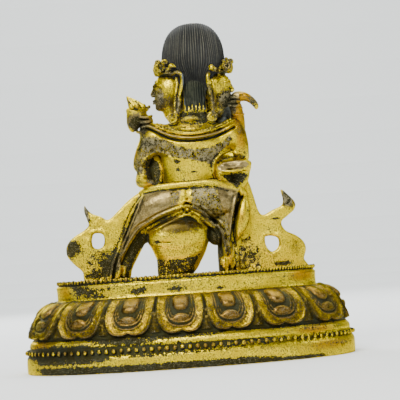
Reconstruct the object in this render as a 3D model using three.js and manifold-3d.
// A small gilt bronze figure with three faces and six arms, embracing a consort, on an oval lotus plinth.
// Millimetres, +Z up. The origin is at the middle of the plinth's underside.
// The figure faces +Y. Its back, with the combed hair and the draped skirt, faces -Y.
import * as THREE from 'three';
import { mergeVertices } from 'three/addons/utils/BufferGeometryUtils.js';
import Module from 'manifold-3d';

const wasm = await Module();
wasm.setup();

// Driving dimensions.
const PLINTH_HEIGHT = 22.8;
const PLINTH_REACH = 43.1; // half the plinth's width, at the lower row of beads
const PLINTH_SLIMMER = 14.5; // half the width less half the depth, the same at every height
const PLAN_POWER = 2.35; // 2 is an ellipse, more is squarer
const WALL = 1.8;
const PETALS = 16;
const PETAL_STEPS = [-1, -0.8, -0.5, -0.2, 0.2, 0.5, 0.8]; // places across a petal, in half widths
const PETAL_FOOT = 8.5;
const PETAL_HEAD = 17.0;
const PETAL_RELIEF = 1.25;

const HAIR_BASE = 72.4;
const HAIR_TOP = 88.5;
const HAIR_LEAN = 0.05; // sideways shift of the hair for each millimetre of height
const HAIR_FLUTES = 18;
const HEAD_X = 5.6;
const SCARF_PLATE = { middle: 1.9, thickness: 1.5 };
const LEAST_EDGE = 0.5;
const CASTING_COLOUR = 0xd8b23c;
const PLINTH_COLOUR = 0xcfa838;

// A geometry with one vertex at each corner, as a solid.
function solidFrom(geometry) {
  const bare = new THREE.BufferGeometry();
  bare.setAttribute('position', geometry.getAttribute('position').clone());
  if (geometry.index) bare.setIndex(geometry.index.clone());
  const merged = mergeVertices(bare, 1e-4);
  const corners = merged.index.array;
  const kept = [];
  for (let i = 0; i < corners.length; i += 3) {
    const [a, b, c] = [corners[i], corners[i + 1], corners[i + 2]];
    if (a !== b && b !== c && c !== a) kept.push(a, b, c);
  }
  return new wasm.Manifold(new wasm.Mesh({
    numProp: 3,
    vertProperties: new Float32Array(merged.attributes.position.array),
    triVerts: new Uint32Array(kept),
  }));
}

function geometryFrom(solid) {
  const mesh = solid.getMesh();
  const geometry = new THREE.BufferGeometry();
  geometry.setAttribute('position', new THREE.BufferAttribute(mesh.vertProperties, 3));
  geometry.setIndex(new THREE.BufferAttribute(mesh.triVerts, 1));
  geometry.computeVertexNormals();
  return geometry;
}

const join = (solids) => solids.reduce((whole, piece) => whole.add(piece));

// Joining leaves facets far smaller than the work. Corners nearer than `least` are drawn together, and the
// long side of a facet thinner than `thin` is turned, unless either would fold the surface over.
function tidied(solid, least, thin) {
  const { vertProperties, triVerts } = solid.getMesh();
  const corners = [];
  for (let i = 0; i < vertProperties.length; i += 3) corners.push(new THREE.Vector3(...vertProperties.slice(i, i + 3)));
  const faces = [];
  for (let i = 0; i < triVerts.length; i += 3) faces.push([...triVerts.slice(i, i + 3)]);
  const around = corners.map(() => new Set());
  faces.forEach((face, index) => face.forEach((corner) => around[corner].add(index)));
  const neighbours = (corner) => new Set([...around[corner]].flatMap((f) => faces[f]).filter((other) => other !== corner));
  const normal = (a, b, c) => new THREE.Vector3().crossVectors(b.clone().sub(a), c.clone().sub(a));
  const height = (a, b, c) => normal(a, b, c).length() / Math.max(a.distanceTo(b), b.distanceTo(c), c.distanceTo(a));
  const grounded = (corner) => Math.abs(corners[corner].z - PLINTH_HEIGHT) < 1e-3;

  function drawTogether(a, b) {
    const shared = [...neighbours(a)].filter((corner) => neighbours(b).has(corner));
    if (shared.length !== 2) return;
    const target = grounded(a) === grounded(b) ? corners[a].clone().lerp(corners[b], 0.5) : corners[grounded(a) ? a : b].clone();
    const moved = [...new Set([...around[a], ...around[b]])].filter((f) => !(faces[f].includes(a) && faces[f].includes(b)));
    const folds = moved.some((f) => {
      const before = faces[f].map((corner) => corners[corner]);
      const after = faces[f].map((corner) => (corner === a || corner === b ? target : corners[corner]));
      const [was, is] = [normal(...before), normal(...after)];
      return height(...after) < thin / 2 || (height(...before) > thin && was.normalize().dot(is.normalize()) < 0.5);
    });
    if (folds) return;
    [...around[a]].filter((f) => faces[f].includes(b)).forEach((f) => {
      faces[f].forEach((corner) => around[corner].delete(f));
      faces[f] = null;
    });
    around[b].forEach((f) => {
      faces[f] = faces[f].map((corner) => (corner === b ? a : corner));
      around[a].add(f);
    });
    around[b].clear();
    corners[a] = target;
  }

  function turnLongSide(f) {
    const [p, q, r] = faces[f];
    const sides = [[p, q, r], [q, r, p], [r, p, q]];
    const [a, b, tip] = sides.sort((u, v) => corners[v[0]].distanceTo(corners[v[1]]) - corners[u[0]].distanceTo(corners[u[1]]))[0];
    const g = [...around[a]].find((other) => other !== f && faces[other].includes(b));
    const far = faces[g].find((corner) => corner !== a && corner !== b);
    if (neighbours(tip).has(far)) return;
    const [A, B, T, F] = [a, b, tip, far].map((corner) => corners[corner]);
    const facing = normal(B, A, F).normalize();
    const better = Math.min(height(A, F, T), height(F, B, T)) > height(A, B, T);
    const level = normal(A, F, T).normalize().dot(facing) > 0.7 && normal(F, B, T).normalize().dot(facing) > 0.7;
    if (!better || !level) return;
    [f, g].forEach((face) => faces[face].forEach((corner) => around[corner].delete(face)));
    faces[f] = [a, far, tip];
    faces[g] = [far, b, tip];
    [f, g].forEach((face) => faces[face].forEach((corner) => around[corner].add(face)));
  }

  for (let pass = 0; pass < 6; pass += 1) {
    const short = [];
    faces.forEach((face) => face && face.forEach((a, i) => {
      const b = face[(i + 1) % 3];
      const length = corners[a].distanceTo(corners[b]);
      if (a < b && length < least) short.push([length, a, b]);
    }));
    short.sort((u, v) => u[0] - v[0]).forEach(([, a, b]) => around[a].size && around[b].size && drawTogether(a, b));
    faces.forEach((face, f) => face && height(...face.map((corner) => corners[corner])) < thin && turnLongSide(f));
  }
  const closed = new THREE.BufferGeometry();
  closed.setAttribute('position', new THREE.Float32BufferAttribute(corners.flatMap((corner) => corner.toArray()), 3));
  closed.setIndex(faces.filter(Boolean).flat());
  return solidFrom(closed);
}

// An ellipsoid about a centre.
function blob([x, y, z], [a, b, c], sides = 6, rings = 4) {
  const ball = new THREE.SphereGeometry(1, sides, rings);
  ball.scale(a, b, c);
  ball.translate(x, y, z);
  return solidFrom(ball);
}

// A round-ended limb through stations [x, y, z, half width, half thickness].
// The width lies across both the run of the limb and the direction `across`.
function limb(stations, { sides = 6, rings = 6, across = [0, 1, 0] } = {}) {
  const spine = new THREE.CatmullRomCurve3(stations.map(([x, y, z]) => new THREE.Vector3(x, y, z)));
  const sizes = new THREE.CatmullRomCurve3(stations.map(([, , , w, t]) => new THREE.Vector3(w, t, 0)));
  const tube = new THREE.SphereGeometry(1, sides, rings);
  const place = tube.getAttribute('position');
  const facing = new THREE.Vector3(...across).normalize();
  for (let i = 0; i < place.count; i += 1) {
    const [u, v, w] = [place.getX(i), place.getY(i), place.getZ(i)];
    const along = Math.acos(THREE.MathUtils.clamp(v, -1, 1)) / Math.PI;
    const run = spine.getTangent(along);
    const side = new THREE.Vector3().crossVectors(facing, run).normalize();
    const deep = new THREE.Vector3().crossVectors(run, side);
    const size = sizes.getPoint(along);
    const round = Math.sqrt(Math.max(0, 1 - Math.abs(2 * along - 1) ** 5));
    const radial = Math.hypot(u, w) || 1;
    const point = spine.getPoint(along)
      .addScaledVector(side, (u / radial) * size.x * round * Math.sign(Math.hypot(u, w)))
      .addScaledVector(deep, (w / radial) * size.y * round * Math.sign(Math.hypot(u, w)));
    place.setXYZ(i, point.x, point.y, point.z);
  }
  const made = solidFrom(tube);
  return made.volume() < 0 ? solidFrom(turnedInsideOut(tube)) : made;
}

function turnedInsideOut(geometry) {
  const flipped = geometry.index.array;
  for (let i = 0; i < flipped.length; i += 3) [flipped[i + 1], flipped[i + 2]] = [flipped[i + 2], flipped[i + 1]];
  return geometry;
}

// A cord or rim of even radius through points [x, y, z].
function rim(points, radius, rings = 8, sides = 5) {
  return limb(points.map((point) => [...point, radius, radius]), { rings, sides, across: [0, 0.3, 1] });
}

// A plate standing in the XZ plane between two depths, from outline points [x, z] and round holes.
function plate(outline, [near, far], holes = [], { smooth = true, points = 44 } = {}) {
  const corners = outline.map(([x, z]) => new THREE.Vector2(x, z));
  const line = smooth ? new THREE.SplineCurve([...corners, corners[0]]).getPoints(points).slice(0, -1) : corners;
  const shape = new THREE.Shape(line);
  holes.forEach(([x, z, a, b]) => {
    const hole = new THREE.Path();
    hole.absellipse(x, z, a, b, 0, Math.PI * 2, false);
    shape.holes.push(hole);
  });
  const slab = new THREE.ExtrudeGeometry(shape, { depth: far - near, bevelEnabled: false, curveSegments: 5 });
  slab.rotateX(Math.PI / 2);
  slab.translate(0, far, 0);
  return solidFrom(slab);
}

// The lotus plinth.

// Angles at shares of the way round the plan, 0 being the middle of the back.
function anglesAt(shares) {
  const steps = 3600;
  const reach = PLINTH_REACH - 3;
  const lengths = [0];
  let last = planPoint(-Math.PI / 2, reach);
  for (let i = 1; i <= steps; i += 1) {
    const next = planPoint(-Math.PI / 2 + (i / steps) * 2 * Math.PI, reach);
    lengths.push(lengths[i - 1] + Math.hypot(next[0] - last[0], next[1] - last[1]));
    last = next;
  }
  return shares.map((share) => {
    const at = lengths.findIndex((length) => length >= (((share % 1) + 1) % 1) * lengths[steps]);
    return -Math.PI / 2 + (at / steps) * 2 * Math.PI;
  });
}

function planPoint(angle, reach) {
  const bend = 2 / PLAN_POWER;
  const [c, s] = [Math.cos(angle), Math.sin(angle)];
  const deep = reach - PLINTH_SLIMMER;
  return [Math.sign(c) * reach * Math.abs(c) ** bend, Math.sign(s) * deep * Math.abs(s) ** bend];
}

// Height of a petal over the plinth's wall. `across` runs from -1 to 1 over one petal, and `down` from 0
// at its root to 1 at its tip. The lip turns outward, and inside it a groove runs round a raised jewel.
function petalRelief(across, down) {
  const half = 0.9 * Math.sqrt(Math.max(0, 1 - Math.max(0, (down - 0.5) / 0.5) ** 3));
  if (Math.abs(across) > half) return -0.55 * Math.sin(Math.PI * Math.min(1, down * 1.1));
  const lip = Math.exp(-(((Math.abs(across) - 0.8 * half) / 0.16) ** 2)) + Math.exp(-(((down - 0.9) / 0.1) ** 2));
  const jewel = Math.exp(-((across / 0.32) ** 4) - ((down - 0.52) / 0.26) ** 4);
  return PETAL_RELIEF * Math.min(1, 0.05 + 0.8 * lip + jewel) * Math.min(1, down * 5);
}

// The wall's outline from the foot up: [reach, height]. Petals are raised on the rows between their ends.
const PLINTH_ROWS = [
  [42.5, 0], [42.5, 4.2], [PLINTH_REACH, 5.0], [42.2, 5.7], [40.9, 7.0],
  [40.5, PETAL_FOOT], [40.7, 9.3], [40.7, 10.6], [40.3, 12.4], [39.4, 14.1], [37.4, 15.8],
  [34.4, PETAL_HEAD], [33.8, 19.4], [33.1, 21.9], [33.6, 22.3], [33.0, PLINTH_HEIGHT],
];
// The hollow inside, from above the rim's plane up to the underside of the top.
const CAVITY_ROWS = [[41.0, -1.0], [40.4, 2.0], [38.2, 8.0], [35.6, 14.0], [31.4, 18.4], [29.4, PLINTH_HEIGHT - WALL]];

// A closed skin through rings of points, each ring given from the same angles and the rows from low to high.
function skin(rings) {
  const columns = rings[0].length;
  const points = rings.flat(2);
  const faces = [];
  for (let row = 0; row + 1 < rings.length; row += 1) {
    for (let column = 0; column < columns; column += 1) {
      const [a, b] = [row * columns + column, row * columns + ((column + 1) % columns)];
      faces.push(a, b, b + columns, a, b + columns, a + columns);
    }
  }
  const closed = new THREE.BufferGeometry();
  closed.setAttribute('position', new THREE.Float32BufferAttribute(points, 3));
  closed.setIndex(faces);
  return solidFrom(closed);
}

function turned(rows, angles, raised = () => 0) {
  const ring = ([reach, height]) => angles.map((angle, column) => [...planPoint(angle, reach + raised(column, height)), height]);
  const tip = ([, height]) => angles.map(() => [0, 0, height]);
  return skin([tip(rows[0]), ...rows.map(ring), tip(rows[rows.length - 1])]);
}

function makePlinth() {
  const count = PETAL_STEPS.length;
  const shares = Array.from({ length: PETALS * count }, (_, i) => (Math.floor(i / count) + PETAL_STEPS[i % count] / 2) / PETALS);
  const raised = (column, height) => {
    const across = PETAL_STEPS[column % count];
    const down = (PETAL_HEAD - height) / (PETAL_HEAD - PETAL_FOOT);
    return down > 0 && down < 1 ? petalRelief(across, down) : 0;
  };
  const inside = Array.from({ length: PETALS * 2 }, (_, i) => i / (PETALS * 2));
  return turned(PLINTH_ROWS, anglesAt(shares), raised).subtract(turned(CAVITY_ROWS, anglesAt(inside)));
}

// The figure: legs, hips and the rounded block that carries it.

function makeLegs() {
  const block = limb([
    [-2.6, 0.6, 20.5, 4.3, 3.8], [-2.5, 0.3, 24.5, 4.5, 4.2], [-2.1, -0.2, 28.5, 6.2, 5.2],
    [-1.7, -0.5, 32.2, 8.2, 5.6], [-1.4, 0.4, 35.2, 6.4, 4.4], [-1.2, 1.0, 38.0, 3.8, 3.0],
  ], { sides: 10, rings: 8 });
  const hips = blob([2.8, 0.8, 41.9], [9.4, 6.2, 5.0], 10, 6);
  const leftLeg = limb([
    [-1.5, 0.8, 41.5, 5.0, 5.2], [-7.0, 1.2, 40.0, 4.4, 4.8], [-11.3, 2.4, 36.8, 3.3, 3.6],
    [-13.4, 2.8, 32.8, 2.4, 2.6], [-14.9, 2.2, 28.5, 2.0, 2.1], [-16.1, 1.6, 25.0, 1.8, 1.9], [-16.6, 1.4, 21.0, 1.8, 1.9],
  ], { sides: 8, rings: 9 });
  const rightLeg = limb([
    [6.5, 0.8, 41.2, 4.8, 5.2], [11.0, 2.0, 41.2, 4.4, 4.6], [14.0, 4.6, 39.4, 3.6, 3.6],
    [13.9, 4.4, 36.4, 3.4, 3.0], [12.9, 3.4, 32.6, 3.1, 2.6], [11.2, 2.4, 28.6, 2.1, 2.1], [10.7, 1.8, 24.6, 1.9, 2.0],
    [10.7, 1.8, 21.0, 1.9, 2.0],
  ], { sides: 8, rings: 10 });
  const feet = [
    limb([[-16.0, 1.0, 24.0, 1.7, 1.6], [-17.6, 4.6, 24.0, 2.0, 1.5], [-19.4, 8.8, 23.5, 2.0, 1.1]], { across: [0, 0, 1] }),
    limb([[10.8, 1.6, 24.0, 1.7, 1.6], [12.4, 5.2, 24.0, 2.0, 1.5], [14.2, 9.4, 23.5, 2.0, 1.1]], { across: [0, 0, 1] }),
  ];
  const innerHem = limb([
    [-12.6, 0.6, 34.0, 1.1, 1.3], [-8.5, -0.6, 35.6, 1.2, 1.4], [-3.8, -1.6, 37.3, 1.2, 1.6],
    [1.7, -2.2, 38.9, 1.2, 1.6], [5.2, -1.6, 37.0, 1.2, 1.5], [8.6, -0.2, 34.4, 1.1, 1.3],
  ], { sides: 5, rings: 8 });
  return [block, hips, leftLeg, rightLeg, ...feet, innerHem];
}

// The skirt is a fuller form of each thigh, cut to the outline of its hem.
const SKIRT_TOP = [[2.0, 46.0], [2.0, 39.8]];
const LEFT_HEM = [[-4.3, 38.3], [-8.4, 36.5], [-11.3, 34.9], [-13.3, 32.6], [-15.7, 28.9], [-17.7, 24.6], [-18.0, 22.0]];
const LEFT_EDGE = [[-21.6, 22.0], [-20.6, 25.3], [-18.6, 28.3], [-15.9, 32.8], [-14.0, 37.4], [-12.2, 41.7], [-9.8, 45.6]];
const RIGHT_HEM = [[4.6, 38.4], [7.3, 35.9], [9.5, 33.4], [10.1, 31.0], [10.3, 27.0], [10.5, 22.0]];
const RIGHT_EDGE = [[12.7, 22.0], [12.2, 28.2], [12.3, 32.1], [13.1, 36.5], [14.4, 39.8], [16.6, 42.6], [16.4, 44.4]];

function makeSkirt() {
  const straight = { smooth: false };
  const leftCloth = limb([
    [2.0, -0.2, 42.2, 5.4, 5.8], [-5.5, -0.4, 41.2, 5.2, 5.9], [-11.0, 0.4, 37.6, 4.6, 4.8],
    [-14.6, 0.6, 32.5, 3.4, 3.2], [-17.4, 0.4, 28.0, 2.6, 2.2], [-19.6, 0.2, 23.5, 2.6, 1.9], [-20.4, 0.2, 20.0, 2.6, 1.9],
  ], { sides: 10, rings: 10 });
  const rightCloth = limb([
    [2.0, -0.2, 42.2, 5.4, 5.8], [9.0, -0.4, 41.8, 5.4, 6.0], [12.6, 0.4, 38.8, 4.8, 5.0],
    [11.6, 0.4, 34.0, 3.4, 3.8], [11.3, 0.3, 29.0, 2.4, 2.8], [11.6, 0.2, 24.0, 2.2, 2.3], [11.7, 0.2, 20.0, 2.2, 2.3],
  ], { sides: 10, rings: 10 });
  const leftCut = plate([...SKIRT_TOP, ...LEFT_HEM, ...LEFT_EDGE], [-9, 1.5], [], straight);
  const rightCut = plate([...SKIRT_TOP, ...RIGHT_HEM, ...RIGHT_EDGE], [-9, 1.5], [], straight);
  const knots = [
    blob([11.8, -1.6, 26.0], [1.3, 1.2, 1.9]), blob([10.9, -2.0, 24.4], [1.2, 1.1, 1.3]),
    blob([-19.2, -1.2, 24.6], [1.5, 1.0, 1.3]),
  ];
  const belt = limb([
    [-10.2, 0.4, 44.3, 1.1, 1.0], [-8.4, -3.4, 44.8, 1.1, 1.0], [-4.0, -4.9, 45.3, 1.0, 0.9], [2.0, -5.4, 45.5, 1.0, 0.9],
    [8.0, -5.2, 45.4, 1.1, 0.9], [12.5, -4.4, 44.4, 1.4, 1.0], [15.6, -2.4, 43.2, 1.6, 1.2], [16.8, 0.8, 42.8, 1.4, 1.2],
  ], { sides: 5, rings: 10, across: [0, -1, 0] });
  return [leftCloth.intersect(leftCut), rightCloth.intersect(rightCut), ...knots, belt];
}

// Scarf ends that stand on the plinth at both sides, each with a curled tip and a round gap.
const LEFT_SCARF = [
  [-9.0, 46.0], [-13.6, 43.1], [-16.5, 40.5], [-19.2, 38.3], [-21.2, 39.4], [-23.4, 40.3], [-25.1, 42.2], [-25.4, 40.6],
  [-24.7, 38.6], [-24.6, 37.0], [-25.8, 35.9], [-28.0, 34.8], [-29.9, 33.3], [-30.8, 31.4], [-30.4, 29.2], [-28.6, 27.0],
  [-26.9, 25.3], [-25.6, 22.0], [-17.6, 22.0], [-13.6, 31.5], [-8.4, 39.0],
];
const RIGHT_SCARF = [
  [16.2, 48.0], [17.6, 47.0], [18.5, 44.8], [19.3, 41.6], [20.2, 38.2], [21.4, 36.7], [23.8, 37.8], [26.2, 39.0],
  [26.8, 40.6], [26.5, 43.2], [28.3, 41.6], [29.9, 39.4], [29.6, 37.6], [27.8, 36.2], [26.1, 34.6], [27.0, 32.4],
  [29.4, 31.0], [31.3, 29.3], [31.9, 27.2], [31.2, 24.8], [30.4, 22.0], [10.6, 22.0], [12.0, 31.0], [13.4, 40.0],
];

function makeScarf() {
  const depths = [SCARF_PLATE.middle - SCARF_PLATE.thickness / 2, SCARF_PLATE.middle + SCARF_PLATE.thickness / 2];
  return [
    plate(LEFT_SCARF, depths, [[-22.3, 33.1, 1.7, 2.0]], { points: 46 }),
    plate(RIGHT_SCARF, depths, [[22.9, 29.3, 1.8, 2.1]], { points: 50 }),
  ];
}

// Body, arms and what the hands hold.

function makeBody() {
  const torso = limb([
    [2.9, 0.6, 40.5, 7.6, 5.4], [2.9, 0.3, 45.0, 7.7, 4.9], [2.8, 0.0, 49.3, 6.9, 4.3], [3.6, -0.3, 54.2, 8.3, 4.9],
    [4.5, -0.4, 58.4, 9.4, 5.2], [4.9, 0.1, 61.6, 6.8, 4.3], [5.2, 0.6, 64.4, 3.5, 3.5], [5.5, 0.8, 69.0, 3.2, 3.4],
  ], { sides: 12, rings: 12 });
  const shoulders = [
    blob([-4.9, -0.2, 58.6], [4.5, 4.1, 4.0], 8, 5),
    blob([14.2, -0.2, 58.2], [4.3, 4.1, 3.9], 8, 5),
  ];
  return [torso, ...shoulders];
}

function makeArms() {
  const across = [0, 0, 1];
  const arms = [
    [[-5.5, -0.3, 59.2, 3.2, 3.2], [-8.2, -0.2, 56.0, 2.6, 2.7], [-9.5, 0.6, 53.0, 2.2, 2.4], [-9.4, 3.4, 51.8, 2.0, 2.0],
      [-7.4, 8.2, 52.2, 1.7, 1.7], [-3.4, 12.2, 53.2, 1.5, 1.4], [1.6, 13.6, 54.2, 1.4, 1.2]],
    [[14.6, -0.3, 59.2, 3.2, 3.2], [16.2, -0.1, 56.2, 2.5, 2.7], [16.7, 0.8, 53.4, 2.2, 2.4], [16.7, 3.6, 52.4, 2.0, 2.0],
      [15.0, 8.4, 52.8, 1.7, 1.7], [11.2, 12.4, 53.6, 1.5, 1.4], [6.4, 14.0, 54.4, 1.4, 1.2]],
    [[-4.4, 1.6, 58.2, 2.3, 2.3], [-7.2, 3.0, 58.8, 2.0, 2.0], [-8.0, 2.4, 60.8, 1.8, 1.8], [-7.2, 1.6, 63.4, 1.5, 1.5]],
    [[13.6, 1.6, 58.2, 2.3, 2.3], [16.4, 3.2, 59.2, 2.0, 2.0], [17.0, 2.4, 62.0, 1.8, 1.8], [16.6, 1.0, 65.6, 1.5, 1.5]],
    [[-4.2, 2.6, 57.6, 2.4, 2.4], [-7.6, 6.2, 55.8, 2.0, 2.0], [-6.4, 9.4, 57.4, 1.6, 1.6], [-4.6, 11.6, 59.2, 1.4, 1.4]],
    [[14.0, 2.6, 57.6, 2.4, 2.4], [16.4, 6.4, 55.8, 2.0, 2.0], [15.2, 9.6, 57.4, 1.6, 1.6], [13.6, 11.6, 59.2, 1.4, 1.4]],
  ].map((stations) => limb(stations, { across: [0.3, 0.5, 1], rings: stations.length + 2 }));
  const hands = [
    blob([-6.9, 1.4, 63.5], [1.9, 1.7, 1.9], 6, 5), blob([16.7, 0.8, 66.9], [1.7, 1.5, 1.9]),
    blob([-4.2, 12.2, 60.2], [1.5, 1.4, 1.6]), blob([13.2, 12.2, 60.2], [1.5, 1.4, 1.6]),
  ];
  const bowl = limb([[-9.9, 1.2, 60.8, 1.0, 1.0], [-10.1, 1.2, 62.8, 2.3, 2.3], [-10.0, 1.2, 65.0, 2.9, 2.8], [-9.7, 1.2, 66.8, 2.6, 2.6]],
    { across, sides: 8, rings: 6 });
  const heap = limb([[-9.5, 1.2, 65.6, 2.7, 2.6], [-10.2, 1.2, 67.3, 1.9, 1.8], [-11.3, 1.2, 68.9, 0.9, 0.9], [-12.1, 1.2, 70.0, 0.4, 0.4]],
    { rings: 5 });
  const hook = limb([[16.4, 0.8, 67.8, 0.9, 0.9], [18.2, 0.7, 69.0, 0.9, 0.9], [20.1, 0.6, 68.5, 0.85, 0.85],
    [21.4, 0.5, 66.8, 0.85, 0.85], [21.9, 0.5, 64.9, 0.8, 0.8]], { sides: 5, rings: 8 });
  const held = [
    limb([[-4.2, 12.2, 59.6, 0.6, 0.6], [-4.6, 12.8, 63.0, 1.5, 1.5], [-4.8, 13.0, 65.2, 0.5, 0.5]], { sides: 5, rings: 5 }),
    limb([[13.2, 12.2, 59.0, 0.5, 0.5], [13.6, 12.8, 63.0, 0.5, 0.5], [13.9, 13.2, 66.0, 0.8, 0.8]], { sides: 5, rings: 5 }),
    limb([[1.8, 13.6, 51.4, 1.0, 1.0], [2.0, 14.0, 54.4, 0.7, 0.7], [2.2, 14.2, 57.4, 1.0, 1.0]], { sides: 5, rings: 5 }),
    limb([[6.6, 14.2, 51.6, 1.5, 1.5], [6.4, 14.2, 54.6, 0.8, 0.8], [6.2, 14.2, 57.2, 0.7, 0.7]], { sides: 5, rings: 5 }),
  ];
  return [...arms, ...hands, bowl, heap, hook, ...held];
}

// Heads: one facing front and one to each side, under crowns and one tall mass of combed hair.

function makeHeads() {
  const front = blob([HEAD_X, 1.8, 71.0], [4.6, 5.2, 5.6], 10, 7);
  const frontNose = blob([HEAD_X, 7.0, 70.6], [0.8, 0.9, 1.3]);
  const sideParts = [-1, 1].flatMap((turn) => {
    const at = (offset, y, z) => [HEAD_X + turn * offset, y, z];
    return [
      blob(at(5.6, 0.8, 71.4), [4.6, 3.9, 5.2], 10, 7),
      blob(at(7.6, 0.8, 68.6), [3.0, 2.9, 2.9], 8, 5),
      blob(at(10.6, 0.8, 71.0), [1.2, 0.8, 1.2]),
      limb([[...at(3.4, -2.4, 75.4), 0.7, 1.0], [...at(3.7, -3.1, 72.0), 0.7, 1.5], [...at(4.3, -3.3, 69.0), 0.6, 1.3],
        [...at(4.8, -3.6, 66.0), 0.6, 0.9], [...at(turn < 0 ? 5.9 : 4.4, -3.9, 63.2), 0.6, 0.8]],
      { sides: 5, rings: 6, across: [1, 0, 0] }),
      rim([at(3.6, -3.7, 75.8), at(7.6, -3.0, 76.1), at(10.0, 0.8, 76.4), at(7.6, 4.4, 76.1), at(3.6, 5.0, 75.8)], 0.75),
      blob(at(9.9, 0.8, 78.2), [0.8, 1.5, 1.7]),
      blob(at(7.7, -3.0, 78.1), [1.5, 0.8, 1.8]),
      blob(at(7.7, 4.4, 78.1), [1.5, 0.8, 1.8]),
      blob(at(4.7, -4.4, 77.1), [1.1, 0.8, 0.9]),
    ];
  });
  const crown = [
    rim([[1.6, 5.4, 75.8], [3.4, 6.9, 76.0], [HEAD_X, 7.3, 76.2], [7.8, 6.9, 76.0], [9.6, 5.4, 75.8]], 0.75, 8),
    blob([HEAD_X, 7.4, 78.4], [1.5, 0.8, 2.0]),
    blob([2.6, 6.4, 78.0], [1.3, 0.8, 1.6]),
    blob([8.6, 6.4, 78.0], [1.3, 0.8, 1.6]),
  ];
  const earrings = [[-0.6, 63.2], [9.8, 62.8]].map(([x, z]) => {
    return blob([x, -4.5, z], [1.45, 0.75, 1.45], 8, 4);
  });
  const clasp = blob([4.3, -4.6, 62.6], [2.0, 0.9, 0.9]);
  return [front, frontNose, ...sideParts, ...crown, ...earrings, clasp];
}

// Half the hair's width at a share of its height, a rounded bullet that narrows to the nape.
function hairWidth(share) {
  const spread = THREE.MathUtils.smoothstep(share, 0, 0.34);
  const dome = Math.sqrt(Math.max(0, 1 - Math.max(0, (share - 0.36) / 0.64) ** 2.3));
  return (3.2 + 5.4 * spread) * dome;
}

function makeHair() {
  const rows = 9;
  const profile = [new THREE.Vector2(0, HAIR_BASE)];
  for (let i = 0; i <= rows; i += 1) {
    const share = i === rows ? 1 : 0.02 + 0.97 * (i / rows);
    const height = THREE.MathUtils.lerp(HAIR_BASE, HAIR_TOP, share);
    profile.push(new THREE.Vector2(i === rows ? 0 : hairWidth(share), height));
  }
  const mass = new THREE.LatheGeometry(profile, HAIR_FLUTES * 2);
  mass.rotateX(Math.PI / 2);
  mass.scale(1, 1, 1);
  const place = mass.getAttribute('position');
  for (let i = 0; i < place.count; i += 1) {
    const [x, y, z] = [place.getX(i), place.getY(i), Math.abs(place.getZ(i))];
    const turn = Math.round((Math.atan2(y, x) / (2 * Math.PI)) * HAIR_FLUTES * 2);
    const flute = Math.hypot(x, y) > 0.5 && turn % 2 ? 0.95 : 1;
    const lean = HEAD_X + (z - HAIR_BASE) * HAIR_LEAN;
    place.setXYZ(i, lean + x * flute, 0.2 + y * 0.74 * flute, z);
  }
  const made = solidFrom(mass);
  const hair = made.volume() < 0 ? solidFrom(turnedInsideOut(mass)) : made;
  const nape = limb([[5.6, -2.6, 74.0, 3.0, 1.6], [5.5, -3.4, 70.0, 3.1, 1.5], [5.3, -3.8, 66.5, 3.2, 1.3], [5.2, -4.0, 64.0, 3.3, 1.1]],
    { sides: 8, rings: 6 });
  return [hair, nape];
}

// The consort faces the figure, her legs about its waist and one foot across its back.
function makeConsort() {
  const sides = { across: [0.3, 0.5, 1], sides: 6, rings: 8 };
  const torso = limb([
    [3.4, 9.6, 40.6, 5.2, 4.0], [3.4, 10.0, 44.6, 5.0, 3.9], [3.7, 10.4, 48.8, 3.5, 2.8], [4.6, 10.2, 53.6, 4.2, 3.0],
    [6.2, 9.4, 57.6, 4.2, 2.7], [8.6, 8.2, 60.4, 2.4, 2.1], [11.0, 7.0, 63.0, 1.8, 1.8],
  ], { sides: 8, rings: 9 });
  const head = [
    blob([12.0, 6.4, 64.4], [3.5, 3.7, 4.0], 8, 6),
    limb([[12.3, 8.4, 66.4, 2.6, 2.4], [12.8, 9.8, 69.0, 1.7, 1.7], [13.0, 10.2, 71.0, 0.7, 0.7]], { sides: 6, rings: 5 }),
  ];
  const rightLeg = limb([
    [1.6, 9.0, 46.0, 3.4, 3.4], [-4.2, 8.6, 49.0, 3.3, 3.5], [-8.2, 5.6, 49.6, 2.8, 3.0], [-9.6, 2.2, 48.6, 1.9, 2.2],
    [-9.0, -0.8, 47.2, 1.4, 1.5], [-7.2, -2.8, 46.4, 1.2, 1.4], [-5.2, -3.8, 46.6, 0.8, 0.9],
  ], { ...sides, rings: 9 });
  const leftLeg = limb([
    [5.4, 9.0, 46.0, 3.4, 3.4], [11.2, 8.6, 49.0, 3.3, 3.5], [15.4, 5.6, 49.8, 2.8, 3.0], [17.5, 2.4, 49.6, 1.9, 2.0],
    [17.6, -1.2, 49.8, 1.2, 1.5], [16.0, -3.7, 50.0, 1.3, 1.7], [13.2, -4.7, 50.0, 1.2, 1.9], [10.6, -4.8, 49.8, 0.9, 1.4],
  ], { ...sides, rings: 10 });
  const arms = [
    limb([[2.6, 9.4, 57.8, 1.8, 1.8], [-0.4, 6.4, 60.4, 1.4, 1.4], [-0.6, 3.0, 61.4, 1.2, 1.2]], { ...sides, rings: 5 }),
    limb([[9.0, 9.0, 58.4, 1.8, 1.8], [13.2, 6.2, 61.0, 1.4, 1.4], [12.6, 2.4, 62.2, 1.3, 1.3]], { ...sides, rings: 5 }),
  ];
  return [torso, ...head, rightLeg, leftLeg, ...arms];
}

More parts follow.
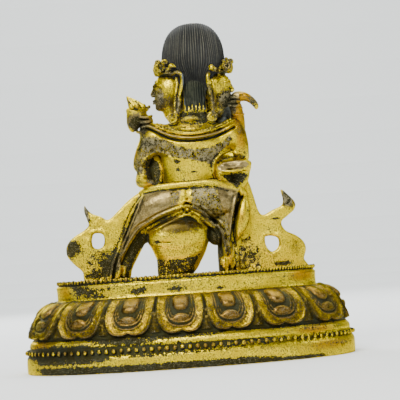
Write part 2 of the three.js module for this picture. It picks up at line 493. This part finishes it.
// Where a line seen from the back, through points [x, z], meets the back of a solid.
function onBackOf(solid, points, lift) {
  const body = new THREE.Mesh(geometryFrom(solid), new THREE.MeshBasicMaterial({ side: THREE.DoubleSide }));
  return points.map(([x, z]) => {
    const ray = new THREE.Raycaster(new THREE.Vector3(x, -60, z), new THREE.Vector3(0, 1, 0));
    const [first] = ray.intersectObject(body);
    return [x, (first ? first.point.y : -2) - lift, z];
  });
}

// Raised lines on the back: the scarf's edge over the shoulders and the double hems of the skirt.
function makeLines(body) {
  const scarfEdge = [[-5.8, 62.2], [-3.4, 60.8], [0.2, 59.0], [4.4, 58.2], [8.6, 58.6], [12.4, 59.6], [15.6, 60.9]];
  const inward = (points, dx, dz) => points.map(([x, z]) => [x + dx, z + dz]);
  return [
    rim(onBackOf(body, scarfEdge, 0.1), 0.6, 12),
    rim(onBackOf(body, inward([[1.2, 40.0], ...LEFT_HEM.slice(0, 5)], 0.1, 0.5), 0.0), 0.42, 12),
    rim(onBackOf(body, inward([[2.6, 39.6], ...RIGHT_HEM.slice(0, 4)], -0.1, 0.6), 0.0), 0.42, 10),
    rim(onBackOf(body, inward(LEFT_EDGE.slice(1, 6), 0.7, -0.1), 0.0), 0.42, 10),
    rim(onBackOf(body, inward(RIGHT_EDGE.slice(2, 6), -0.6, 0.1), 0.0), 0.42, 10),
  ];
}

function makeFigure() {
  const body = join([...makeLegs(), ...makeSkirt(), ...makeBody(), ...makeArms(), ...makeHeads(), ...makeHair(), ...makeConsort()]);
  const whole = join([body, ...makeLines(body), ...makeScarf()]);
  const below = new THREE.BoxGeometry(120, 80, 10);
  below.translate(0, 0, PLINTH_HEIGHT - 5);
  return tidied(whole.subtract(solidFrom(below)), LEAST_EDGE, LEAST_EDGE / 6);
}

function namedMesh(name, solid, colour, roughness) {
  const finish = new THREE.MeshStandardMaterial({ color: colour, metalness: 1, roughness });
  const mesh = new THREE.Mesh(geometryFrom(solid), finish);
  mesh.name = name;
  return mesh;
}

const part = new THREE.Group();
part.add(namedMesh('lotus_plinth', makePlinth(), PLINTH_COLOUR, 0.4));
part.add(namedMesh('figure', makeFigure(), CASTING_COLOUR, 0.38));

export default part;
